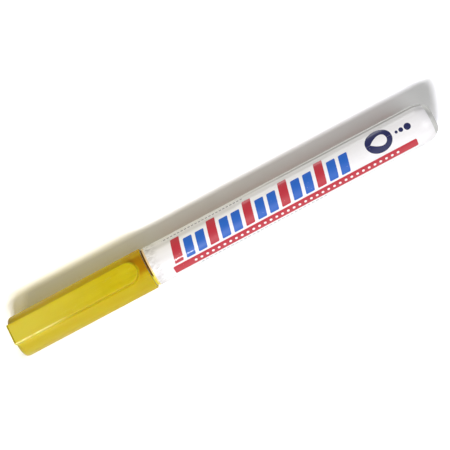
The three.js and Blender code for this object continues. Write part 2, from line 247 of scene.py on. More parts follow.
def arc(station, radius, bend, start, end, steps):
    """Arc of a turned outline: centre plus bend times (sine, cosine), the angle from straight out towards the tail."""
    angle = np.linspace(start, end, steps + 1)
    return np.stack([station + bend * np.sin(angle), radius + bend * np.cos(angle)], axis=-1)


def rounded(corners, steps=5):
    """Outline through (station, radius, rounding) corners: straight runs joined by arcs tangent to both sides.

    The arc's centre lies on the corner's bisector. A run keeps a point close to each arc, so it shades flat.
    """
    spots = np.array([corner[:2] for corner in corners], float)
    pieces = []
    for i, (*_, rounding) in enumerate(corners):
        if rounding == 0:
            pieces.append(spots[i : i + 1])
            continue
        back, ahead = spots[i - 1] - spots[i], spots[(i + 1) % len(spots)] - spots[i]
        lengths = np.hypot(*back), np.hypot(*ahead)
        back, ahead = back / lengths[0], ahead / lengths[1]
        half = math.acos(np.clip(back @ ahead, -1, 1)) / 2
        reach = rounding / math.tan(half)
        centre = spots[i] + (back + ahead) / np.hypot(*(back + ahead)) * rounding / math.sin(half)
        first, last = spots[i] + back * reach - centre, spots[i] + ahead * reach - centre
        turn = math.pi - 2 * half
        t = np.linspace(0, 1, steps + 1)[:, None]
        bend = centre + (np.sin((1 - t) * turn) * first + np.sin(t * turn) * last) / math.sin(turn)
        nearby = min(0.4 * rounding, 0.3 * (lengths[0] - reach)), min(0.4 * rounding, 0.3 * (lengths[1] - reach))
        pieces += [(bend[0] + back * nearby[0])[None], bend, (bend[-1] + ahead * nearby[1])[None]]
    return np.concatenate(pieces)


def turned(outline, columns=96, closed=True):
    """Grid of an outline turned about the pen's axis: each point keeps its station and radius at every angle."""
    if closed:
        outline = np.concatenate([outline, outline[:1]])
    angle = np.linspace(0, 2 * math.pi, columns + 1)
    return about_axis(outline[:, :1], outline[:, 1:], angle[None, :])


def build_piece(name, grids, body, node, finish, smooth=35, places=None):
    """One closed piece from grids of points in millimetres, welded where they meet, standing for its CAD node.

    places holds a (u, v) grid for each grid of points, for a piece whose finish is unrolled.
    """
    points, faces, count = [], [], 0
    for grid in grids:
        rows, columns = grid.shape[:2]
        faces.append(grid_faces(rows, columns) + count)
        points.append(grid.reshape(-1, 3))
        count += rows * columns
    faces = np.concatenate(faces)
    mesh = bpy.data.meshes.new(name)
    mesh.from_pydata(np.concatenate(points) * MM, [], faces.tolist())
    if places is not None:
        flat = np.concatenate([place.reshape(-1, 2) for place in places])
        layer = mesh.uv_layers.new(name="OFBake")
        layer.uv.foreach_set("vector", flat[faces.ravel()].astype(np.float32).ravel())
    shell = bmesh.new()
    shell.from_mesh(mesh)
    bmesh.ops.remove_doubles(shell, verts=shell.verts, dist=WELD)
    bmesh.ops.dissolve_degenerate(shell, edges=shell.edges, dist=WELD)
    bmesh.ops.recalc_face_normals(shell, faces=shell.faces)
    loose = [edge for edge in shell.edges if len(edge.link_faces) != 2]
    if loose:
        raise RuntimeError(f"{name} is open along {len(loose)} edges")
    shell.to_mesh(mesh)
    shell.free()
    mesh.shade_smooth()
    mesh.set_sharp_from_angle(angle=math.radians(smooth))
    mesh.materials.append(finish)
    piece = bpy.data.objects.new(name, mesh)
    bpy.context.scene.collection.objects.link(piece)
    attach(piece, body)
    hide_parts(node)
    return piece


# Finishes

# Gloss of the yellow plastics, softness of the print's edges, and the middle of the print round the film
WARM_GLOSS = {"IOR": 1.4, "Specular_Tint": (1.0, 0.8, 0.2, 1.0)}
PRINT_EDGE = 0.06
PRINT_MIDDLE = 2.2


class Tone:
    """Tones of wear, dirt and depth in the finishes, of the light and shade painted on them, and of the floor, in
    linear light.
    """

    draw_line = (0.44, 0.34, 0.008)
    scuff = (0.88, 0.8, 0.42)
    dust = (0.42, 0.33, 0.06)
    # Painted light and shade on the cap: a lighter end, shaded sides, corner, edge and crease, a highlight on the edge
    # and a sheen on a sink mark
    painted_end_light = (0.73, 0.62, 0.085)
    far_side_shade = (0.72, 0.49, 0.001)
    far_corner_shade = (0.42, 0.27, 0.001)
    closed_edge_shade = (0.26, 0.2, 0.004)
    near_side_shade = (0.515, 0.385, 0.022)
    crease = (0.44, 0.32, 0.001)
    edge_highlight = (0.95, 0.88, 0.42)
    sink_mark_sheen = (0.68, 0.58, 0.02)
    # Painted shade of the film: in its creases and in a band on its far side
    film_crease_shade = (0.3, 0.29, 0.31)
    film_shade_band = (0.45, 0.43, 0.43)
    film_streak = (0.88, 0.86, 0.84)
    # Painted shade along the film's lap step
    lap_step_shade = (0.12, 0.115, 0.11)
    oxide = (0.56, 0.56, 0.55)
    # Painted reflection of the yellow cap on the tube's lip, lit and shaded
    lip_reflection_lit = (0.93, 0.84, 0.3)
    lip_reflection_shaded = (0.85, 0.66, 0.38)
    cup_cloud = (0.72, 0.68, 0.56)
    section_cloud = (0.6, 0.6, 0.57)
    plunger_cloud = (0.7, 0.66, 0.55)
    speck = (0.3, 0.27, 0.2)
    rubber_bloom = (0.075, 0.068, 0.06)
    dark_strand = (0.55, 0.46, 0.2)
    steel_film = (0.36, 0.37, 0.38)
    paper = (0.93, 0.93, 0.92)
    paper_cloud = (0.9, 0.9, 0.895)
    seen_paper = (0.94, 0.945, 0.965)
    seen_cloud = (0.92, 0.925, 0.945)
    seen_clear = (1.7, 1.7, 1.8)
    white = (1, 1, 1)
    black = (0, 0, 0)


def maths(operation):
    """A method that adds one Math node to a value's recipe."""

    def method(self, *others):
        return self.recipe.node("ShaderNodeMath", {"operation": operation}, dict(enumerate((self, *others))))

    return method


class Value:
    """A node's output socket. Arithmetic on it adds Math nodes to its recipe."""

    __add__ = __radd__ = maths("ADD")
    __mul__ = __rmul__ = maths("MULTIPLY")
    __sub__ = maths("SUBTRACT")
    __truediv__ = maths("DIVIDE")
    __abs__ = maths("ABSOLUTE")
    floor = maths("FLOOR")
    root = maths("SQRT")
    least = maths("MINIMUM")
    most = maths("MAXIMUM")
    wrapped = maths("WRAP")
    angle_from = maths("ARCTAN2")

    def __init__(self, recipe, socket):
        self.recipe = recipe
        self.socket = socket

    def __rsub__(self, other):
        return self * -1 + other

    def clamped(self):
        """The value held between 0 and 1."""
        return self.most(0.0).least(1.0)

    def between(self, low, high, soft):
        """1 where the value lies between low and high, fading over soft."""
        return ((self - low) / soft).clamped() * ((high - self) / soft).clamped()

    def past(self, low, high):
        """0 below low and 1 above high, with a smooth rise between them."""
        settings = {"interpolation_type": "SMOOTHSTEP"}
        return self.recipe.node("ShaderNodeMapRange", settings, {0: self, 1: low, 2: high, 3: 0.0, 4: 1.0})


def hypot(x, y):
    """Square root of the sum of two values' squares."""
    return (x * x + y * y).root()


def repeated(value, pitch):
    """How far a value lies from the middle of its own step of a pitch, and that step's number."""
    number = (value / pitch).floor()
    return (value / pitch - number - 0.5) * pitch, number


def as_colour(value):
    """A colour of three numbers as the four that a socket takes; a link passes unchanged."""
    return value if isinstance(value, Value) else (*value, 1.0)


class Recipe:
    """A procedural finish: a material, its shader and the nodes that vary it."""

    def __init__(self, name, **uniform):
        self.material = bpy.data.materials.new(name)
        self.material.use_nodes = True
        self.tree = self.material.node_tree
        self.tree.nodes.clear()
        self.shader = self.tree.nodes.new("ShaderNodeBsdfPrincipled")
        output = self.tree.nodes.new("ShaderNodeOutputMaterial")
        self.tree.links.new(self.shader.outputs[0], output.inputs["Surface"])
        for key, value in uniform.items():
            self.shader.inputs[key.replace("_", " ")].default_value = value
        place = self.node("ShaderNodeTexCoord", output="Object")
        self.place = self.stretched(place, (1 / MM,) * 3)

    def node(self, kind, settings=None, inputs=None, output=0):
        """Adds a node: its settings first, then the values or links of its sockets. Returns one output."""
        made = self.tree.nodes.new(kind)
        for key, value in (settings or {}).items():
            setattr(made, key, value)
        for key, value in (inputs or {}).items():
            if isinstance(value, Value):
                self.tree.links.new(value.socket, made.inputs[key])
            else:
                made.inputs[key].default_value = value
        return Value(self, made.outputs[output])

    def stretched(self, place, factors):
        """A place with each of its three numbers times a factor."""
        return self.node("ShaderNodeVectorMath", {"operation": "MULTIPLY"}, {0: place, 1: factors})

    def parts(self):
        """Station along the pen, distance behind its axis and height over the floor."""
        first = self.node("ShaderNodeSeparateXYZ", inputs={0: self.place})
        return [Value(self, first.socket.node.outputs[i]) for i in range(3)]

    def round_axis(self):
        """Station along the pen and angle about its axis, from the tongue towards -Y."""
        along, side, height = self.parts()
        return along, (side * -1).angle_from(height - AXIS_HEIGHT)

    def noise(self, scale, detail=2.0, stretch=(1, 1, 1)):
        """Soft noise from 0 to 1 with so many blobs to the millimetre, stretched along the pen's own directions."""
        place = self.stretched(self.place, stretch)
        return self.node("ShaderNodeTexNoise", inputs={"Vector": place, "Scale": scale, "Detail": detail})

    def dots(self, scale, size):
        """Small round dots: 1 in the middle of scattered points, so many to the millimetre, and 0 from a size on."""
        cells = self.node("ShaderNodeTexVoronoi", inputs={"Vector": self.place, "Scale": scale})
        return 1 - cells.past(0.0, size)

    def scratches(self, scale, stretch):
        """Thin scattered lines: 1 along the middle level of a stretched noise, 0 elsewhere."""
        return 1 - (abs(self.noise(scale, 3.0, stretch) - 0.5) / 0.012).clamped()

    def blend(self, factor, first, second, kind="MIX"):
        """Mixes two colours: the first at factor 0 and the second at 1."""
        tones = {6: as_colour(first), 7: as_colour(second)}
        return self.node("ShaderNodeMix", {"data_type": "RGBA", "blend_type": kind}, {0: factor, **tones}, output=2)

    def layers(self, tone, *coats):
        """A tone with coats of (amount, colour) blended over it one after another."""
        for amount, cover in coats:
            tone = self.blend(amount, tone, cover)
        return tone

    def done(self, base, rough, *heights):
        """Feeds colour, roughness and a chain of (height, depth in millimetres, strength) bumps to the shader.

        The roughness is a value or, where it is the same all over, a number.
        """
        links = self.tree.links
        links.new(base.socket, self.shader.inputs["Base Color"])
        if isinstance(rough, Value):
            links.new(rough.clamped().socket, self.shader.inputs["Roughness"])
        else:
            self.shader.inputs["Roughness"].default_value = rough
        normal = None
        for height, depth, strength in heights:
            sockets = {"Height": height, "Distance": depth * MM, "Strength": strength}
            if normal is not None:
                sockets["Normal"] = normal
            normal = self.node("ShaderNodeBump", inputs=sockets)
        if normal is not None:
            links.new(normal.socket, self.shader.inputs["Normal"])
        return self.material


def yellow_plastic(name, tones, tongue_end, tongue_half_width):
    """Satin yellow moulding: cloudy pigment, flow and draw lines along it, fine scuffs, dust and a faint orange peel.

    It is painted lighter towards the closed end, where more light falls, and painted with shade on both sides of the
    tongue, at the far corner and round the closed end's edge. Past the round end of the tongue, at a station and with a
    half width in millimetres, an amber shadow is painted over the thin wall, most of all on the side away from -Y. On
    the -Y side a highlight is painted along the tongue's edge towards the closed end, and shade is painted in the
    crease under it towards the mouth. A faint round sink mark on the tongue's face is painted paler, as a sheen.
    """
    scatter = {"Subsurface_Weight": 0.5, "Subsurface_Radius": (1.0, 0.4, 0.03), "Subsurface_Scale": 1.0 * MM}
    recipe = Recipe(name, **WARM_GLOSS, **scatter)
    along, far, height = recipe.parts()
    near = far * -1
    inward = along - CAP_END
    ahead = along - (tongue_end - tongue_half_width)
    outside = hypot(ahead.most(0.0), far) - tongue_half_width

    # What lies all over it
    cloud = recipe.noise(0.22, 3.0)
    flow = recipe.noise(0.9, 2.0, (0.12, 1, 1))
    drawn = recipe.noise(1.5, 2.0, (0.03, 1, 1)).past(0.52, 0.7)
    scuff = recipe.scratches(0.55, (0.35, 1.3, 1.3)) * recipe.noise(0.35, 1.0).past(0.5, 0.68)

    # Painted light and shade at places on the cap
    # Painted light: paler towards the closed end, where the long lamp lights the cap more, and less so on the far side
    pale = (ahead * -1).past(2.0, 38.0) * (0.8 - 0.6 * far.past(2.0, 3.6))
    # Painted shadow past the tongue's round end, amber, strongest on the side away from -Y
    thin = outside.past(0.05, 0.75) * ahead.past(-2.0, 2.6)
    # Painted shade on the far side by the closed end
    corner = far.past(2.8, 3.8) * (1 - inward.past(0.6, 3.5))
    # Painted shade on the rounded edge round the closed end
    closed_edge_shade = inward.between(0.14, 0.55, 0.12)
    on_near = near.past(0.0, 2.0)
    # Painted shade in the crease under the tongue's -Y edge, towards the mouth
    crease = outside.between(-0.2, 0.36, 0.14) * on_near * ahead.past(-30.0, -16.0)
    # Painted highlight along the tongue's -Y edge, broken up and fading towards the mouth
    edge = outside.between(-0.5, 0.02, 0.12) * on_near * (1 - ahead.past(-34.0, -18.0) * 0.95)
    edge = edge * (height - AXIS_HEIGHT).past(4.8, 5.8) * recipe.noise(1.3, 3.0, (0.4, 1, 1)).past(0.25, 0.6)
    # Painted sheen: a paler round patch where a faint sink mark lies in the tongue's face
    sink = 1 - hypot(ahead + 1.0, far).past(1.7, 2.4)
    tone = recipe.layers(
        tones.cap_yellow[:],
        ((cloud * 0.7 + flow * 0.5).past(0.35, 0.85) * 0.5, tones.cap_shade[:]),
        (drawn * 0.3, Tone.draw_line),
        (scuff * 0.16, Tone.scuff),
        (recipe.dots(2.6, 0.09) * 0.25, Tone.dust),
        (pale, Tone.painted_end_light),
        (thin * (0.3 + 0.7 * far.past(-2.8, -1.0)), tones.cap_amber_shadow[:]),
        # Painted shade on the far side of the round cap, turned away from the lamps
        (far.past(3.0, 4.2) * 0.65, Tone.far_side_shade),
        (corner * 0.5, Tone.far_corner_shade),
        (closed_edge_shade * 0.85, Tone.closed_edge_shade),
        # Painted shade: the side towards -Y made darker than the lamps leave it
        (near.past(2.4, 4.4) * 0.75, Tone.near_side_shade),
        (crease * 0.75, Tone.crease),
        (edge * 0.85, Tone.edge_highlight),
        (sink * 0.3, Tone.sink_mark_sheen),
    )
    rough = 0.24 + 0.14 * cloud + 0.1 * flow + 0.2 * scuff + 0.25 * ahead.past(-30.0, -8.0)
    return recipe.done(tone, rough, (flow, 0.03, 0.35), (recipe.noise(2.4), 0.006, 0.5), (scuff, 0.004, 0.4))


def lit_and_shaded_ring(name, tones):
    """Yellow ring with painted shade on top and behind, where the cap's rim shadows it, and painted light on the side
    towards -Y.
    """
    recipe = Recipe(name, **WARM_GLOSS)
    _, angle = recipe.round_axis()
    cloud = recipe.noise(1.2, 3.0)
    # Painted light on the side towards -Y, painted shadow of the cap's rim elsewhere
    lit_side = angle.past(0.61, 0.85) * (0.8 + 0.2 * cloud)
    tone = recipe.blend(lit_side, tones.ring_shadow_brown[:], tones.ring_lit_yellow[:])
    return recipe.done(tone, 0.45 + 0.2 * cloud, (cloud, 0.03, 0.4), (recipe.noise(5.0), 0.006, 0.5))


def rounded_box(x, y, x_middle, y_middle, x_half, y_half, corner):
    """Rounded box: 1 where the distance to the box shrunk by its corner radius is under that radius."""
    far_x = (abs(x - x_middle) - (x_half - corner)).most(0.0)
    far_y = (abs(y - y_middle) - (y_half - corner)).most(0.0)
    return ((corner - hypot(far_x, far_y)) / PRINT_EDGE + 0.5).clamped()


def spot(x, y, x_middle, y_middle, radius):
    """Round spot: 1 where the distance to its middle is under its radius."""
    return ((radius - hypot(x - x_middle, y - y_middle)) / PRINT_EDGE + 0.5).clamped()


def dashes(x, y, y_middle, pitch, y_half, first, last):
    """Row of dashes between two stations, each two thirds of the pitch long."""
    within, _ = repeated(x, pitch)
    return rounded_box(within, y, 0.0, y_middle, pitch * 0.33, y_half, 0.1) * x.between(first, last, 0.05)


def generic_print(along, around, places):
    """Masks of the red, blue, navy and fine print on the film, from the places along the pen and round it.

    The bars lean by a share of the way round. A dot or dash lies in each step of its row's pitch. The drop's half
    height is its run times the root of what is left of the run, which starts in a point and ends round.
    """
    # Slanted bars, every third one red and taller
    lean, lean_middle, bar_half, bar_corner = 0.24, 4.0, 1.42, 0.35
    red_middle, red_half, blue_middle, blue_half = 0.4, 3.68, 1.2, 2.88
    within, number = repeated(along - places["bars_start"] + (around - lean_middle) * lean, places["bars_pitch"])
    in_row = number.between(-0.6, places["bars_count"] - 0.4, 0.05)
    is_low = (number.wrapped(3.0, 0.0) * 2.0 - 0.5).clamped()
    red_bars = rounded_box(within, around, 0.0, red_middle, bar_half, red_half, bar_corner) * (1 - is_low) * in_row
    blue = rounded_box(within, around, 0.0, blue_middle, bar_half, blue_half, bar_corner) * is_low * in_row

    # Solid stripe with a row of dots left white
    start, end = places["stripe_start"], places["stripe_end"]
    middle, half, dot_pitch, dot_radius, dot_inset = 6.1, 1.42, 1.9, 0.42, 6.0
    stripe = rounded_box(along, around, (start + end) / 2, middle, (end - start) / 2, half, 0.45)
    within, _ = repeated(along, dot_pitch)
    holes = spot(within, around, 0.0, middle, dot_radius) * along.between(start + dot_inset, end - dot_inset, 0.05)
    red = red_bars.most(stripe * (1 - holes))

    # Dark oval with a white drop, and three growing dots
    disc, mark = places["disc_place"], places["marks_place"]
    oval_middle, half_long, half_high, half_mean = 0.15, 4.2, 3.5, 3.8
    drop_back, drop_length, drop_width, marks_middle = 2.7, 5.2, 4.3, 0.2
    reach = hypot((along - disc) / half_long, (around - oval_middle) / half_high)
    navy = ((1 - reach) * half_mean / PRINT_EDGE + 0.5).clamped()
    run = ((along - (disc - drop_back)) / drop_length).clamped()
    drop = ((run * (1 - run).root() * drop_width - abs(around - oval_middle)) / PRINT_EDGE + 0.5).clamped()
    navy = navy * (1 - drop)
    for beyond, radius in ((0.0, 0.45), (1.5, 0.7), (3.6, 1.05)):
        navy = navy.most(spot(along, around, mark + beyond, marks_middle, radius))

    # Rows of fine dashes along the bars' top and under the stripe
    fine = dashes(along, around, -4.6, 1.15, 0.24, start + 0.5, start + 27.0)
    fine = fine.most(dashes(along, around, 8.5, 1.4, 0.2, start + 8.0, end - 30.0))
    return red, blue, navy, fine


def printed_film(name, tones, places, barrel):
    """White shrink film with generic print, laid out along the pen and round it in millimetres.

    Round is the film's radius times the angle from the tongue's middle towards -Y, and the print stands twice round the
    barrel, half a turn apart. By the mouth the film is creased, with shade painted grey in its creases and deepest on
    the far side; shade is also painted in a band behind the bars and, towards the tail, along the step of its lap. The
    ink is chipped in places.
    """
    recipe = Recipe(name, IOR=1.45, Coat_Weight=0.5, Coat_Roughness=0.07)
    along, angle = recipe.round_axis()
    along = along - CAP_END
    half_turn = math.pi * SLEEVE_RADIUS
    first = PRINT_MIDDLE - half_turn / 2
    around = (angle * SLEEVE_RADIUS - first).wrapped(half_turn, 0.0) + first
    red, blue, navy, fine_print = generic_print(along, around, places)

    cloud = recipe.noise(0.16, 3.0)
    grain = recipe.noise(1.6, 3.0)
    streak = recipe.noise(0.5, 3.0, (0.15, 1, 1))
    by_mouth = 1 - (along - (SLEEVE_FRONT - CAP_END)).past(0.3, 4.5)
    creased = by_mouth * recipe.noise(0.9, 3.0, (0.6, 1, 1)).past(0.38, 0.62)
    lap = 1 - (abs(angle - (barrel["overlap_angle"] - 0.01)) / 0.15).clamped()
    chips = recipe.dots(1.1, 0.1) * recipe.noise(0.3, 1.0).past(0.52, 0.66)
    inked = 1 - chips * 0.8
    paper = recipe.layers(
        tones.film_white[:],
        ((cloud * 0.55 + grain * 0.3).past(0.42, 0.8) * 0.35, tones.film_grey_and_crease_shade[:]),
        # Painted shade in the creases by the mouth, deeper on the far side
        (creased * 0.8, tones.film_grey_and_crease_shade[:]),
        (creased * (angle * -1).past(0.0, 0.8) * 0.5, Tone.film_crease_shade),
        # Painted shade in a band on the far side, where less light falls
        (angle.between(-0.72, -0.36, 0.16) * (0.2 + 0.3 * cloud), Tone.film_shade_band),
        (red * inked, tones.print_red[:]),
        (blue * inked, tones.print_blue[:]),
        (navy * inked, tones.print_navy[:]),
        (fine_print * inked * 0.6, tones.print_navy[:]),
        # Painted shade along the step of the film's lap, towards the tail
        (lap * along.past(70.0, 100.0) * 0.85, Tone.lap_step_shade),
    )
    shade = recipe.blend(0.35 * streak.past(0.35, 0.8), Tone.white, Tone.film_streak)
    paper = recipe.blend(1.0, paper, shade, "MULTIPLY")
    ink = red.most(blue).most(navy)
    rough = 0.3 + 0.14 * cloud + 0.12 * creased + 0.06 * ink + 0.08 * grain
    dent = recipe.noise(0.12, 1.0, (0.6, 1, 1))
    return recipe.done(paper, rough, (dent, 0.25, 0.25), (streak, 0.03, 0.4), (grain, 0.006, 0.5), (ink, 0.004, 0.6))


def drawn_aluminium(name, tones):
    """Satin metal with fine rings from drawing, cloudy oxide, small marks, and on its lip a painted reflection of the
    yellow cap, brighter on the lit side towards -Y.
    """
    recipe = Recipe(name, Metallic=1.0)
    along, side, _ = recipe.parts()
    rings = recipe.noise(7.0, 3.0, (1, 0.04, 0.04))
    cloud = recipe.noise(0.3, 3.0)
    marks = recipe.scratches(0.6, (0.5, 1.2, 1.2))
    lip = 1 - (along - TUBE_FRONT).past(0.5, 0.9)
    # Painted reflection of the yellow cap on the lip, brighter yellow on the lit -Y side
    dried = recipe.blend(side.past(-3.6, -1.6), Tone.lip_reflection_lit, Tone.lip_reflection_shaded)
    oxide = cloud.past(0.3, 0.8) * 0.6 + rings * 0.2
    tone = recipe.layers(tones.aluminium[:], (oxide, Tone.oxide), (lip * 0.85, dried))
    rough = 0.34 + 0.16 * rings + 0.14 * cloud + 0.12 * marks + 0.3 * lip
    return recipe.done(tone, rough, (rings, 0.006, 0.5), (marks, 0.004, 0.5))


def moulded_plastic(name, tone, cloudy, scatter):
    """Matt uncoloured moulding: slight cloudiness, tool marks round it and a few specks."""
    recipe = Recipe(
        name, IOR=1.49, Subsurface_Weight=scatter, Subsurface_Radius=(1.0, 0.8, 0.6), Subsurface_Scale=0.6 * MM
    )
    cloud = recipe.noise(0.5, 3.0)
    rings = recipe.noise(4.0, 2.0, (1, 0.05, 0.05))
    tone = recipe.layers(tone, (cloud.past(0.3, 0.75), cloudy), (recipe.dots(1.7, 0.07) * 0.3, Tone.speck))
    rough = 0.42 + 0.16 * cloud + 0.1 * rings
    return recipe.done(tone, rough, (rings, 0.01, 0.3), (recipe.noise(3.0), 0.008, 0.4))


def matt_rubber(name, tones):
    """Dark seal rubber with a dusty bloom and a fine grain."""
    recipe = Recipe(name, IOR=1.45)
    bloom = recipe.noise(0.8, 3.0).past(0.4, 0.75)
    grain = recipe.noise(9.0)
    tone = recipe.blend(bloom * 0.5, tones.rubber[:], Tone.rubber_bloom)
    return recipe.done(tone, 0.62 + 0.2 * bloom + 0.08 * grain, (grain, 0.01, 0.5))


def soaked_fibre(name, tones):
    """Pressed fibre rod: strands along the rod, yellow and smoother where the paint has soaked into its tip."""
    recipe = Recipe(name, IOR=1.4)
    along = recipe.parts()[0]
    strands = recipe.noise(5.0, 3.0, (0.12, 1, 1))
    soaked = 1 - (along - span("nib")[0] + recipe.noise(1.5) * 1.2).past(1.2, 3.6)
    coats = (strands.past(0.3, 0.7), Tone.dark_strand), (soaked * 0.85, tones.cap_yellow[:])
    tone = recipe.layers(tones.fibre[:], *coats)
    return recipe.done(tone, 0.85 - 0.35 * soaked + 0.1 * strands, (strands, 0.05, 0.6))


def bright_steel(name, tones, scale, stretch):
    """Polished steel with fine directional lines and a thin film of dried paint in places."""
    recipe = Recipe(name, Metallic=1.0)
    lines = recipe.noise(scale, 3.0, stretch)
    cloud = recipe.noise(0.7, 3.0)
    tone = recipe.blend(cloud.past(0.35, 0.8) * 0.6, tones.steel[:], Tone.steel_film)
    return recipe.done(tone, 0.14 + 0.14 * lines + 0.16 * cloud, (lines, 0.003, 0.5))


# Pieces


class PenOperator(bpy.types.Operator):
    """Shared ground of the operators: they read the sizes from the scene and can be undone."""

    bl_idname = "marker_pen.shared"
    bl_label = "Marker pen"
    bl_options = {"REGISTER", "UNDO"}


def tongue_rows(size):
    """Stations of the cap's cross-sections, with the round cap's radius, the tongue's half width and its height.

    Both roundings at the closed end are quarter circles: a quantity is its full value less rounding times
    (1 - cosine), at the station rounding times (1 - sine).
    """
    end, small = size["end_rounding"], size["tongue_end_rounding"]
    straight_end = CAP_MOUTH - CAP_END - size["tongue_setback"] - size["tongue_width"] / 2
    end_steps = end * (1 - np.cos(np.linspace(0, QUARTER, 13)))
    small_steps = small * (1 - np.cos(np.linspace(0, QUARTER, 7)))
    stations = np.concatenate([end_steps, small_steps, np.linspace(end, straight_end, 30)])
    stations = np.unique(np.round(stations, 5))
    body = CAP_RADIUS - end + np.sqrt(end**2 - np.clip(end - stations, 0, None) ** 2)
    inset = small - np.sqrt(small**2 - np.clip(small - stations, 0, None) ** 2)
    half = size["tongue_width"] / 2 - inset
    height = CAP_RADIUS + size["tongue_rise"] - inset
    return stations, body, half, height


def tongue_half(size, start, turn, body, half, height, out_station, out_angle):
    """Grid of the cap from the tongue's middle line over its edge, wall and crease out to a given border.

    Every row is a ray across the tongue, turned towards the mouth round its end. Along a ray at distance d the
    height is flat, then a quarter circle, a straight wall, a quadratic curve through the corner of wall and round
    cap, and at last the cylinder: height squared plus (d times cosine of the turn) squared is the radius squared.
    """
    start, turn, body, half, height = (row[:, None] for row in (start, turn, body, half, height))
    edge, crease = size["edge_rounding"], size["crease_rounding"]
    across = np.cos(turn)

    def under(distance):
        """Height of the round cap at a distance along the rays."""
        return np.sqrt(body**2 - (distance * across) ** 2)

    flat = 1 - (1 - np.linspace(0, 1, 7)[None, :]) ** 1.6
    bend = np.linspace(QUARTER, 0, 7)[None, 1:]
    run = np.linspace(0, 1, 5)[None, 1:]
    curl = np.linspace(0, 1, 6)[None, 1:]
    out = np.linspace(0, 1, 9)[None, 1:] ** 1.4
    wall_foot = under(half) + crease
    distance = [
        (half - edge) * flat,
        half - edge + edge * np.cos(bend),
        half + 0 * run,
        (1 - curl) ** 2 * half + 2 * curl * (1 - curl) * half + curl**2 * (half + crease),
    ]
    level = [
        height + 0 * flat,
        height - edge + edge * np.sin(bend),
        height - edge + (wall_foot - height + edge) * run,
        (1 - curl) ** 2 * wall_foot + 2 * curl * (1 - curl) * under(half) + curl**2 * under(half + crease),
    ]
    distance, level = np.hstack(distance), np.hstack(level)
    station = start + distance * np.sin(turn)
    angle = np.arctan2(distance * across, level)
    radius = np.hypot(distance * across, level)
    last_station, last_angle = station[:, -1:], angle[:, -1:]
    station = np.hstack([station, last_station + (out_station[:, None] - last_station) * out])
    angle = np.hstack([angle, last_angle + (out_angle[:, None] - last_angle) * out])
    radius = np.hstack([radius, body + 0 * out])
    return station, radius, angle


def cap_grids(size):
    """Grids of the cap: both halves of the tongue, the rest of the outside, the mouth with the bores, and the end.

    The tongue's rows reach a border at an angle on both sides of it and, past its round end, at a station.
    """
    border, rows_on, rows_over = math.radians(48), 14, 16
    steps = rows_on + rows_over
    rows = tongue_rows(size)
    straight = len(rows[0])
    border_station = CAP_MOUTH - CAP_END - 2 * size["rim_rounding"]
    start, body, half, height = (np.pad(row, (0, steps), mode="edge") for row in rows)
    turn = np.concatenate([np.zeros(straight), np.linspace(0, QUARTER, steps + 1)[1:]])
    ahead = np.linspace(start[-1], border_station, rows_on + 1)[1:]
    out_station = np.concatenate([rows[0], ahead, np.full(rows_over, border_station)])
    out_angle = np.concatenate([np.full(straight + rows_on, border), np.linspace(border, 0, rows_over + 1)[1:]])
    station, radius, angle = tongue_half(size, start, turn, body, half, height, out_station, out_angle)
    halves = [about_axis(CAP_END + station, radius, sign * angle) for sign in (1, -1)]

    # Rest of the round outside, up to the station where the tongue's border turns over the cap
    rest_angle = np.linspace(border, 2 * math.pi - border, 89)
    last = straight + rows_on
    rest = about_axis(CAP_END + out_station[:last, None], body[:last, None], rest_angle[None, :])

    # Mouth and bores, turned on the columns of what they meet
    ring_angle = np.concatenate([rest_angle, 2 * math.pi + np.linspace(-border, border, 2 * rows_over + 1)[1:]])
    mouth, end_wall, bore, mouth_bore = CAP_MOUTH - CAP_END, size["end_wall"], size["bore"], size["mouth_bore"]
    step = mouth - size["mouth_depth"]
    corners = [(border_station, CAP_RADIUS, 0), (mouth, CAP_RADIUS, size["rim_rounding"]), (mouth, mouth_bore, 0.1)]
    corners += [(step, mouth_bore, 0.04), (step, bore, 0.1), (end_wall, bore, 0.4), (end_wall, 0, 0)]
    outline = rounded(corners)
    mouth_grid = about_axis(CAP_END + outline[:, :1], outline[:, 1:], ring_angle[None, :])

    # Flat closed end: its outline drawn in towards the axis
    loop_radius = np.concatenate([radius[0], np.full(len(rest_angle) - 2, body[0]), radius[0, ::-1]])
    loop_angle = np.concatenate([angle[0], rest_angle[1:-1], 2 * math.pi - angle[0, ::-1]])
    end_face = about_axis(CAP_END, np.linspace(1, 0, 6)[:, None] * loop_radius, loop_angle)
    return [*halves, rest, mouth_grid, end_face]


class MARKERPEN_OT_cap(PenOperator):
    """Builds the yellow cap: a round shell with a raised flat tongue that ends in a half circle."""

    bl_idname = "marker_pen.cap"
    bl_label = "Cap"

    def execute(self, context):
        pen = context.scene.marker_pen
        size = in_mm(pen.cap)
        tongue_end = CAP_MOUTH - size["tongue_setback"]
        finish = yellow_plastic("yellow_plastic", pen.colours, tongue_end, size["tongue_width"] / 2)
        build_piece("cap_body", cap_grids(size), "cap", "cap_shell", finish, smooth=50)
        return {"FINISHED"}


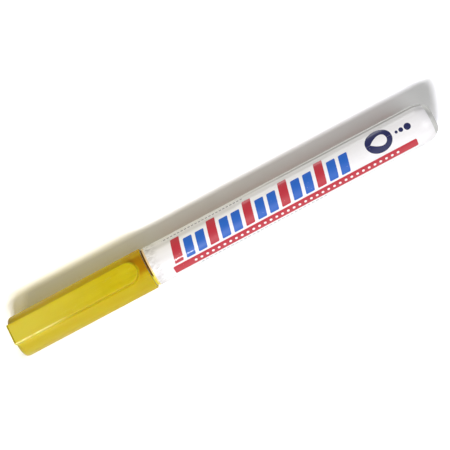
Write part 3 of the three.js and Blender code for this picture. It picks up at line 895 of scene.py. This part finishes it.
class MARKERPEN_OT_seal_cup(PenOperator):
    """Builds the inner cup that closes over the nib: a turned shell with two rings pressed into the cap."""

    bl_idname = "marker_pen.seal_cup"
    bl_label = "Seal cup"

    def execute(self, context):
        shell, bore, floor = CUP_FLANGE - 1.38, CUP_FLANGE - 1.98, CUP_REAR + 0.8
        foot, rim = CUP_REAR + 1.2, CUP_MOUTH - 1.0
        corners = [(CUP_REAR, 0, 0), (CUP_REAR, CUP_FLANGE, 0.15), (foot, CUP_FLANGE, 0.15), (foot, shell, 0.2)]
        corners += [(rim, shell, 0.2), (rim, CUP_FLANGE, 0.12), (CUP_MOUTH, CUP_FLANGE, 0.15)]
        corners += [(CUP_MOUTH, bore, 0.25), (floor, bore, 0.4), (floor, 0, 0)]
        grids = [turned(rounded(corners), closed=False)]
        natural = context.scene.marker_pen.colours.natural[:]
        finish = moulded_plastic("natural_plastic", natural, Tone.cup_cloud, 0.4)
        build_piece("seal_cup_moulding", grids, "cap", "seal_cup", finish)
        return {"FINISHED"}


def tail_curve(size, inset, steps):
    """Outline of the tube's tail at a distance inside its skin: the shoulder's arc, then the corner's."""
    bend, corner, turn = size["shoulder_radius"], size["corner_radius"], size["shoulder_angle"]
    station, radius = shoulder_station(size), TUBE_RADIUS - bend
    corner_station = station + (bend - corner) * math.sin(turn)
    corner_radius = radius + (bend - corner) * math.cos(turn)
    shoulder = arc(station, radius, bend - inset, 0, turn, steps)
    corner_arc = arc(corner_station, corner_radius, corner - inset, turn, QUARTER, steps // 2)
    return np.concatenate([shoulder, corner_arc[1:]])


def shoulder_station(size):
    """Where the tube's shoulder starts to bend in."""
    bend, corner, turn = size["shoulder_radius"], size["corner_radius"], size["shoulder_angle"]
    return TUBE_TAIL - (bend * math.sin(turn) + corner * (1 - math.sin(turn)))


class MARKERPEN_OT_barrel(PenOperator):
    """Builds the drawn metal tube: a straight wall, a rounded shoulder and a small flat end."""

    bl_idname = "marker_pen.barrel"
    bl_label = "Barrel"

    def execute(self, context):
        pen = context.scene.marker_pen
        size = in_mm(pen.barrel)
        wall, lip_end, flat_end = size["wall"], TUBE_FRONT + 2, 2.0
        inside = TUBE_RADIUS - wall
        lip = [(lip_end, inside, 0), (TUBE_FRONT, inside, 0.1)]
        lip += [(TUBE_FRONT, TUBE_RADIUS, 0.12), (lip_end, TUBE_RADIUS, 0)]
        lining = [[[TUBE_TAIL - wall, 0]], tail_curve(size, wall, 12)[::-1]]
        skin = [tail_curve(size, 0, 20), [[TUBE_TAIL, flat_end], [TUBE_TAIL, 0]]]
        grids = [turned(np.concatenate([*lining, rounded(lip), *skin]), 128, closed=False)]
        finish = drawn_aluminium("drawn_aluminium", pen.colours)
        build_piece("barrel_tube", grids, "pen_body", "barrel", finish)
        return {"FINISHED"}


def sleeve_relief(size, station, angle, front, tail):
    """How far the film stands off its nominal skin.

    Sums of sines in station and angle make creases that die away from the front edge, flutes that grow over the
    shoulder and long shallow waves; where the film overlaps itself it steps up and falls away over the overlap.
    """
    depth = size["wrinkle_depth"]
    near_front = np.exp(-((station - front) / 2.1))
    folds = np.sin(9 * angle + 1.9 * station) * np.sin(2.3 * station + 2.0 * np.sin(3 * angle + 0.6))
    folds += 0.6 * np.sin(17 * angle - 2.7 * station + 1.0) + 0.5 * np.sin(29 * angle + 1.1 * station)
    creases = depth * near_front * np.clip(0.45 + 0.4 * folds, 0, 1)
    near_tail = np.clip((station - (tail - 3.2)) / 3.2, 0, 1) ** 2
    flutes = 0.45 * depth * near_tail * (0.5 + 0.5 * np.sin(37 * angle + 2 * np.sin(5 * angle)))
    waves = 0.16 * depth * (1 + np.sin(0.31 * station + 2 * angle) * np.sin(0.17 * station - 3 * angle + 1))
    behind = (angle - size["overlap_angle"]) * SLEEVE_RADIUS
    doubled = np.where((behind >= 0) & (behind < size["overlap_width"]), 1 - behind / size["overlap_width"], 0)
    rise = np.clip(behind / 0.12 + 1, 0, 1) * (behind < 0)
    step = size["film_thickness"] * np.maximum(doubled**0.6, rise)
    return creases + flutes + waves + step


def sleeve_grids(size):
    """Grids of the film's skin, its lining and its two rims, and the (u, v) places of each on the unrolled film.

    The outline runs straight along the tube and then round its shoulder. Its stations lie closest together by the
    creased front edge, and its columns just before the lap, where the film steps up on itself.
    """
    bend, thickness, lap = size["shoulder_radius"], size["film_thickness"], size["overlap_angle"]
    shoulder = shoulder_station(size)
    straight = np.concatenate(
        [
            SLEEVE_FRONT + np.array([0, 0.02, 0.05]),
            np.linspace(SLEEVE_FRONT + 0.12, SLEEVE_FRONT + 6, 45),
            np.linspace(SLEEVE_FRONT + 6.8, shoulder - 2.6, 86),
            np.linspace(shoulder - 2.4, shoulder, 12),
        ]
    )

    def film_outline(radius):
        """Straight run at a radius, then the arc over the shoulder."""
        over = arc(shoulder, TUBE_RADIUS - bend, bend + radius - TUBE_RADIUS, 0, size["film_shoulder_angle"], 16)[1:]
        return np.concatenate([np.stack([straight, np.full(len(straight), radius)], axis=-1), over])

    outer, inner = film_outline(SLEEVE_RADIUS), film_outline(SLEEVE_RADIUS - thickness)
    full = lap + 2 * math.pi
    around = np.concatenate([np.linspace(lap, full - 0.03, 200), full - np.array([0.0205, 0.015, 0.008, 0.003, 0])])
    relief_angle = np.where(around > math.pi, around - 2 * math.pi, around)
    relief_angle[-1] = lap
    relief = sleeve_relief(size, outer[:, :1], relief_angle[None, :], outer[0, 0], outer[-1, 0])
    skin = about_axis(outer[:, :1], outer[:, 1:] + relief, around[None, :])
    lining = about_axis(inner[:, :1], inner[:, 1:], around[None, :])
    rims = [np.stack([skin[i], lining[i]]) for i in (0, -1)]

    # Skin and lining are unrolled side by side, each rim as a strip beyond them
    margin, spread = 0.01, 0.98
    length = np.concatenate([[0], np.cumsum(np.hypot(*np.diff(outer, axis=0).T))])
    u = (margin + spread * length / length[-1])[:, None]
    v = ((around - around[0]) / (around[-1] - around[0]))[None, :]
    places = [(u, low + (high - low) * v) for low, high in ((0.01, 0.9), (0.92, 0.96))]
    places += [(margin + spread * v, np.array([[low], [low + 0.008]])) for low in (0.97, 0.985)]
    return [skin, lining, *rims], [np.stack(np.broadcast_arrays(*place), axis=-1) for place in places]


class MARKERPEN_OT_sleeve(PenOperator):
    """Builds the printed film sleeve: shrunk over the tube's shoulder, creased at its ends, lapped along one line."""

    bl_idname = "marker_pen.sleeve"
    bl_label = "Label sleeve"

    def execute(self, context):
        pen = context.scene.marker_pen
        size = in_mm(pen.barrel)
        grids, places = sleeve_grids(size)
        finish = printed_film("printed_film", pen.colours, in_mm(pen.places), size)
        build_piece("label_sleeve", grids, "pen_body", "label_film", finish, smooth=60, places=places)
        return {"FINISHED"}


class MARKERPEN_OT_front_section(PenOperator):
    """Builds the moulding that holds nib and valve: nose, seal ridge, spigot with snap ridge, collar and plug."""

    bl_idname = "marker_pen.front_section"
    bl_label = "Front section"

    def execute(self, context):
        pen = context.scene.marker_pen
        size = in_mm(pen.inner)
        collar, nib_bore, valve_bore = COLLAR_RADIUS, size["nib_bore"], size["valve_bore"]
        neck, ridge, spigot, plug = 3.12, 3.32, 5.25, 5.38
        snap, groove = 5.36, 4.59
        # Distance from the nose's tip, radius and rounding, the bores last
        nose = [(0, nib_bore, 0.1), (0, nib_bore + 0.8, 0.3), (6.4, neck, 0), (6.9, ridge, 0.3), (7.4, neck, 0)]
        front = [(9.8, neck, 0.3), (9.8, spigot, 0.3), (12.8, spigot, 0), (13.2, snap, 0.3), (13.6, spigot, 0)]
        middle = [(15.8, spigot, 0.15), (15.8, collar, 0.12), (17.0, collar, 0.12), (17.0, plug, 0.1)]
        seat = [(22.15, plug, 0.08), (22.15, groove, 0.08), (22.97, groove, 0.08), (22.97, plug, 0.08)]
        rear = PLUG_REAR - NOSE_TIP
        bores = [(rear, plug, 0.25), (rear, valve_bore, 0.15), (17.96, valve_bore, 0.1), (17.96, nib_bore, 0.08)]
        corners = [(NOSE_TIP + reach, *rest) for reach, *rest in nose + front + middle + seat + bores]
        finish = moulded_plastic("section_plastic", pen.colours.section_grey[:], Tone.section_cloud, 0.25)
        grids = [turned(rounded(corners, steps=4))]
        build_piece("front_moulding", grids, "pen_body", "front_section", finish)
        return {"FINISHED"}


def flat_ring(node, hole, inner, outer, columns):
    """Grid of a ring as long and as wide as its CAD node, with a hole and roundings along its inner and outer edges."""
    front, rear, rim = span(node)
    corners = [(front, hole, inner), (front, rim, outer), (rear, rim, outer), (rear, hole, inner)]
    return turned(rounded(corners), columns)


class MARKERPEN_OT_seals(PenOperator):
    """Builds the rings: the coloured collar ring, the round ring in the plug's groove and the valve's washer."""

    bl_idname = "marker_pen.seals"
    bl_label = "Rings and seals"

    def execute(self, context):
        tones = context.scene.marker_pen.colours
        collar_hole, valve_hole = TUBE_RADIUS - 0.5, 1.15
        ring = flat_ring("collar_ring", collar_hole, 0.05, 0.12, 96)
        finish = lit_and_shaded_ring("ring_plastic", tones)
        build_piece("colour_ring", [ring], "pen_body", "collar_ring", finish)

        front, rear, outer = span("plug_ring")
        bend = (rear - front) / 2
        rubber = matt_rubber("seal_rubber", tones)
        section = arc((front + rear) / 2, outer - bend, bend, 0, 2 * math.pi, 20)[:-1]
        build_piece("plug_seal_ring", [turned(section)], "pen_body", "plug_ring", rubber)

        washer = flat_ring("valve_washer", valve_hole, 0.15, 0.15, 64)
        build_piece("valve_seat", [washer], "pen_body", "valve_washer", rubber)
        return {"FINISHED"}


class MARKERPEN_OT_nib(PenOperator):
    """Builds the nib: a fibre rod whose cone runs out in a round point."""

    bl_idname = "marker_pen.nib"
    bl_label = "Nib"

    def execute(self, context):
        pen = context.scene.marker_pen
        size = in_mm(pen.inner)
        tip, rear, _ = span("nib")
        radius, point, length = size["nib_radius"], size["nib_tip_radius"], size["nib_tip_length"]
        cone = math.radians(22.5)
        dome = arc(tip + point, 0, point, -QUARTER, -cone, 10)
        start = (tip + point * (1 - math.sin(cone)), point * math.cos(cone), 0)
        body = rounded([start, (tip + length, radius, 0.4), (rear, radius, 0.12), (rear, 0, 0)])
        grids = [turned(np.concatenate([dome, body[1:]]), 48, closed=False)]
        build_piece("nib_rod", grids, "nib_unit", "nib", soaked_fibre("soaked_fibre", pen.colours))
        return {"FINISHED"}


def spring_grids(size):
    """Grids of the spring: a circle of the wire's radius carried along a helix, and the two ends filled in.

    The helix's station is the running sum of a pitch that is closed at both ends and open between them. Across the
    wire lie the direction away from the axis and its cross product with the helix's tangent.
    """
    first, last, _ = span("valve_spring")
    wire, radius, turns = size["wire_radius"], size["spring_radius"], size["spring_turns"]
    angle = np.linspace(0, 2 * math.pi * turns, 48 * turns + 1)
    turn = angle / (2 * math.pi)
    closed_turns, opening_turns = 0.75, 0.5
    opening = np.clip(np.minimum(turn, turns - turn) - closed_turns, 0, opening_turns) / opening_turns
    pitch = 2.1 * wire + 4.0 * wire * opening**2 * (3 - 2 * opening)
    rise = np.concatenate([[0], np.cumsum((pitch[1:] + pitch[:-1]) / 2)])
    station = first + wire + (last - first - 2 * wire) * rise / rise[-1]
    middle = about_axis(station, radius, angle)
    tangent = np.gradient(middle, axis=0)
    tangent /= np.linalg.norm(tangent, axis=1, keepdims=True)
    away = about_axis(0 * station, 1.0, angle) - np.array([0, 0, AXIS_HEIGHT])
    sideways = np.cross(tangent, away)
    section = np.linspace(0, 2 * math.pi, 17)[None, :, None]
    offset = wire * (np.cos(section) * away[:, None] + np.sin(section) * sideways[:, None])
    inward = np.linspace(1, 0, 4)[:, None, None]
    return [middle[:, None] + offset, *(middle[i] + inward * offset[i] for i in (0, -1))]


class MARKERPEN_OT_valve(PenOperator):
    """Builds the valve's plunger and spring, and finishes its housing, which keeps its CAD shape."""

    bl_idname = "marker_pen.valve"
    bl_label = "Valve"

    def execute(self, context):
        pen = context.scene.marker_pen
        size = in_mm(pen.inner)
        front, rear, head = span("valve_plunger")
        stem, pin = 0.85, 1.53
        seat = span("valve_housing")[0]
        back = seat + 1.5
        corners = [(front, 0, 0), (front, stem, 0.2), (seat, stem, 0.1), (seat, head, 0.2)]
        corners += [(back, head, 0.2), (back, pin, 0.15), (rear, pin, 0.3), (rear, 0, 0)]
        finish = moulded_plastic("plunger_plastic", pen.colours.natural[:], Tone.plunger_cloud, 0.3)
        grids = [turned(rounded(corners), 48, closed=False)]
        build_piece("plunger_moulding", grids, "nib_unit", "valve_plunger", finish)

        steel = bright_steel("spring_steel", pen.colours, 6.0, (1, 1, 1))
        spring = build_piece("spring_coil", spring_grids(size), "pen_body", "valve_spring", steel)
        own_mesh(spring)

        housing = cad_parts["valve_housing"]
        housing.data.materials.clear()
        housing.data.materials.append(finish)
        return {"FINISHED"}


class MARKERPEN_OT_mixing_balls(PenOperator):
    """Builds the two steel balls that stir the paint."""

    bl_idname = "marker_pen.mixing_balls"
    bl_label = "Mixing balls"

    def execute(self, context):
        steel = bright_steel("ball_steel", context.scene.marker_pen.colours, 2.5, (1, 0.3, 1))
        # Each point of a ball is its centre plus its radius in the direction of a latitude and a longitude
        latitude = np.linspace(-QUARTER, QUARTER, 33)[:, None]
        longitude = np.linspace(0, 2 * math.pi, 65)[None, :]
        ways = (np.cos(latitude) * np.cos(longitude), np.cos(latitude) * np.sin(longitude), np.sin(latitude))
        sphere = np.stack(np.broadcast_arrays(*ways), axis=-1)
        for place, node in (("front", "mixing_ball_1"), ("rear", "mixing_ball_2")):
            low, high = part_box(node)
            grid = np.array((low + high) / 2) / MM + (high.z - low.z) / 2 / MM * sphere
            build_piece(f"{place}_mixing_ball", [grid], f"{place}_ball", node, steel)
        return {"FINISHED"}


# Stage


def floor_finish():
    """Pale matt floor that keeps the pen's shadow and goes over to plain white clear of it, for the camera alone.

    The light that the floor throws back has the paper's tone. The camera sees a brighter one and, beyond lines that
    lie along the shadow's four sides, one that is brighter still. Far out the floor glows, so it stays white there.
    """
    recipe = Recipe("floor_paper", IOR=1.3)
    along, side, _ = recipe.parts()
    cloud = recipe.noise(0.02)
    paper = recipe.blend(cloud, Tone.paper, Tone.paper_cloud)
    tail_line = (along - side * 0.44).past(68.5, 73.0)
    cap_line = (side * 0.59 - along).past(67.5, 71.5) * 0.5 + (along * -1).past(90.0, 120.0) * 0.5
    clear = (side.past(11.8, 14.4) + (side * -1).past(4.0, 8.0) + (tail_line + cap_line)).clamped()
    seen_paper = recipe.layers(Tone.seen_paper, (cloud, Tone.seen_cloud), (clear, Tone.seen_clear))
    seen = recipe.node("ShaderNodeLightPath", output="Is Camera Ray")
    mirrored = Value(recipe, seen.socket.node.outputs["Is Glossy Ray"])
    far = hypot((abs(along) - 75.0).most(0.0), (abs(side) - 20.0).most(0.0)).past(10.0, 90.0)
    glow = recipe.blend(far * (seen + mirrored * 0.5), Tone.black, Tone.white)
    recipe.shader.inputs["Emission Strength"].default_value = 1.0
    recipe.tree.links.new(glow.socket, recipe.shader.inputs["Emission Color"])
    return recipe.done(recipe.blend(seen, paper, seen_paper), 0.9)


def white_sky(strength):
    """Sky that gives no light of its own: the camera sees it white, metal and gloss see a share of that."""
    world = bpy.data.worlds.new("white_sky")
    world.use_nodes = True
    nodes, links = world.node_tree.nodes, world.node_tree.links
    ground = nodes["Background"]
    paths = nodes.new("ShaderNodeLightPath")
    level = paths.outputs["Is Camera Ray"]
    for kind in ("Is Glossy Ray", "Is Transmission Ray"):
        part = nodes.new("ShaderNodeMath")
        part.operation = "MULTIPLY_ADD"
        links.new(paths.outputs[kind], part.inputs[0])
        part.inputs[1].default_value = strength
        links.new(level, part.inputs[2])
        level = part.outputs[0]
    links.new(level, ground.inputs["Strength"])
    ground.inputs["Color"].default_value = (1, 1, 1, 1)
    return world


def add_object(name, data, matrix):
    """Links a new object at a place."""
    made = bpy.data.objects.new(name, data)
    bpy.context.scene.collection.objects.link(made)
    made.matrix_world = matrix
    return made


def add_lamp(name, place, foot, long, wide, strength, glow):
    """Rectangular lamp, at a place in millimetres, that faces a foot on the floor under the pen.

    Its power is the strength times pi squared times the distance cubed over the height, so that the floor at the
    foot gets the same light from any place.
    """
    place = Vector(place) * MM
    back = place - Vector((foot * MM, 0, 0))
    lamp = bpy.data.lights.new(name, "AREA")
    lamp.shape = "RECTANGLE"
    lamp.size, lamp.size_y = long * MM, wide * MM
    lamp.energy = strength * math.pi**2 * back.length**3 / place.z
    lamp.color = glow
    matrix = Matrix.Translation(place) @ back.to_track_quat("Z", "Y").to_matrix().to_4x4()
    add_object(name, lamp, matrix).visible_camera = False


def add_camera(settings):
    """Camera that leans from straight overhead towards -Y and rolls, so the pen rises across the picture."""
    tilt, roll = settings.camera_tilt, settings.camera_roll
    rise = Vector((0, -math.sin(tilt), math.cos(tilt)))
    place = Vector((settings.camera_foot, 0, AXIS_HEIGHT * MM)) + rise * settings.camera_distance
    back = (place - Vector((settings.camera_aim, 0, AXIS_HEIGHT * MM))).normalized()
    along = (Vector((1, 0, 0)) - back * back.x).normalized()
    across = back.cross(along)
    right = math.cos(roll) * along - math.sin(roll) * across
    up = math.sin(roll) * along + math.cos(roll) * across
    matrix = Matrix((right, up, back)).transposed().to_4x4()
    matrix.translation = place + up * settings.camera_rise
    data = bpy.data.cameras.new("camera")
    data.lens, data.sensor_width = settings.lens, 36.0
    data.clip_start, data.clip_end = 0.01, 20.0
    return add_object("camera", data, matrix)


class MARKERPEN_OT_stage(PenOperator):
    """Sets the floor, the lamps, the sky and the camera."""

    bl_idname = "marker_pen.stage"
    bl_label = "Stage"

    def execute(self, context):
        scene = context.scene
        settings = scene.marker_pen.stage
        reach = 1.5
        mesh = bpy.data.meshes.new("floor")
        corners = [(x * reach, y * reach, 0) for x, y in ((-1, -1), (1, -1), (1, 1), (-1, 1))]
        mesh.from_pydata(corners, [], [(0, 1, 2, 3)])
        mesh.materials.append(floor_finish())
        floor = add_object("floor", mesh, Matrix.Identity(4))
        scene.world = white_sky(settings.sky_strength)

        # A long lamp and a small one in front of the pen, a warm card behind its cap and a plain one behind the barrel
        add_lamp("long_lamp", (-108, -252, 307), 0, 160, 36, settings.key_strength, (1, 1, 1))
        add_lamp("right_lamp", (250, -150, 250), 40, 220, 220, settings.right_strength, (1, 1, 1))
        add_lamp("warm_card", (-72, 88, 78), -52, 60, 30, settings.warm_strength, (1, 0.88, 0.4))
        add_lamp("plain_card", (50, 110, 60), 45, 90, 40, settings.plain_strength, (0.96, 0.98, 1))

        scene.camera = add_camera(settings)
        scene.view_settings.view_transform = "Standard"
        return {"FINISHED"}


class MARKERPEN_PT_panel(bpy.types.Panel):
    """Lists the pieces in the order they are built, and the sizes and colours they read."""

    bl_idname = "MARKERPEN_PT_panel"
    bl_label = "Marker pen"
    bl_space_type = "VIEW_3D"
    bl_region_type = "UI"
    bl_category = "Marker pen"

    def draw(self, context):
        for operator in OPERATORS:
            self.layout.operator(operator.bl_idname, text=operator.bl_label)
        pen = context.scene.marker_pen
        for key in pen.__annotations__:
            group = getattr(pen, key)
            section = self.layout.box()
            section.label(text=key.capitalize())
            for name in group.__annotations__:
                section.prop(group, name)


OPERATORS = (
    MARKERPEN_OT_cap,
    MARKERPEN_OT_seal_cup,
    MARKERPEN_OT_barrel,
    MARKERPEN_OT_sleeve,
    MARKERPEN_OT_front_section,
    MARKERPEN_OT_seals,
    MARKERPEN_OT_nib,
    MARKERPEN_OT_valve,
    MARKERPEN_OT_mixing_balls,
    MARKERPEN_OT_stage,
)
GROUPS = (CapSizes, BarrelSizes, InnerSizes, PrintPlaces, FinishColours, StageSettings, MarkerPen)
CLASSES = (*GROUPS, *OPERATORS, MARKERPEN_PT_panel)


def register():
    """Registers the classes and hangs the sizes and colours on the scene."""
    for cls in CLASSES:
        bpy.utils.register_class(cls)
    bpy.types.Scene.marker_pen = PointerProperty(type=MarkerPen)


def unregister():
    """Takes the sizes and colours off the scene and unregisters the classes."""
    del bpy.types.Scene.marker_pen
    for cls in reversed(CLASSES):
        bpy.utils.unregister_class(cls)


def main():
    """Builds the pen and its stage."""
    register()
    for operator in OPERATORS:
        group, name = operator.bl_idname.split(".")
        getattr(getattr(bpy.ops, group), name)()


if __name__ == "__main__":
    main()
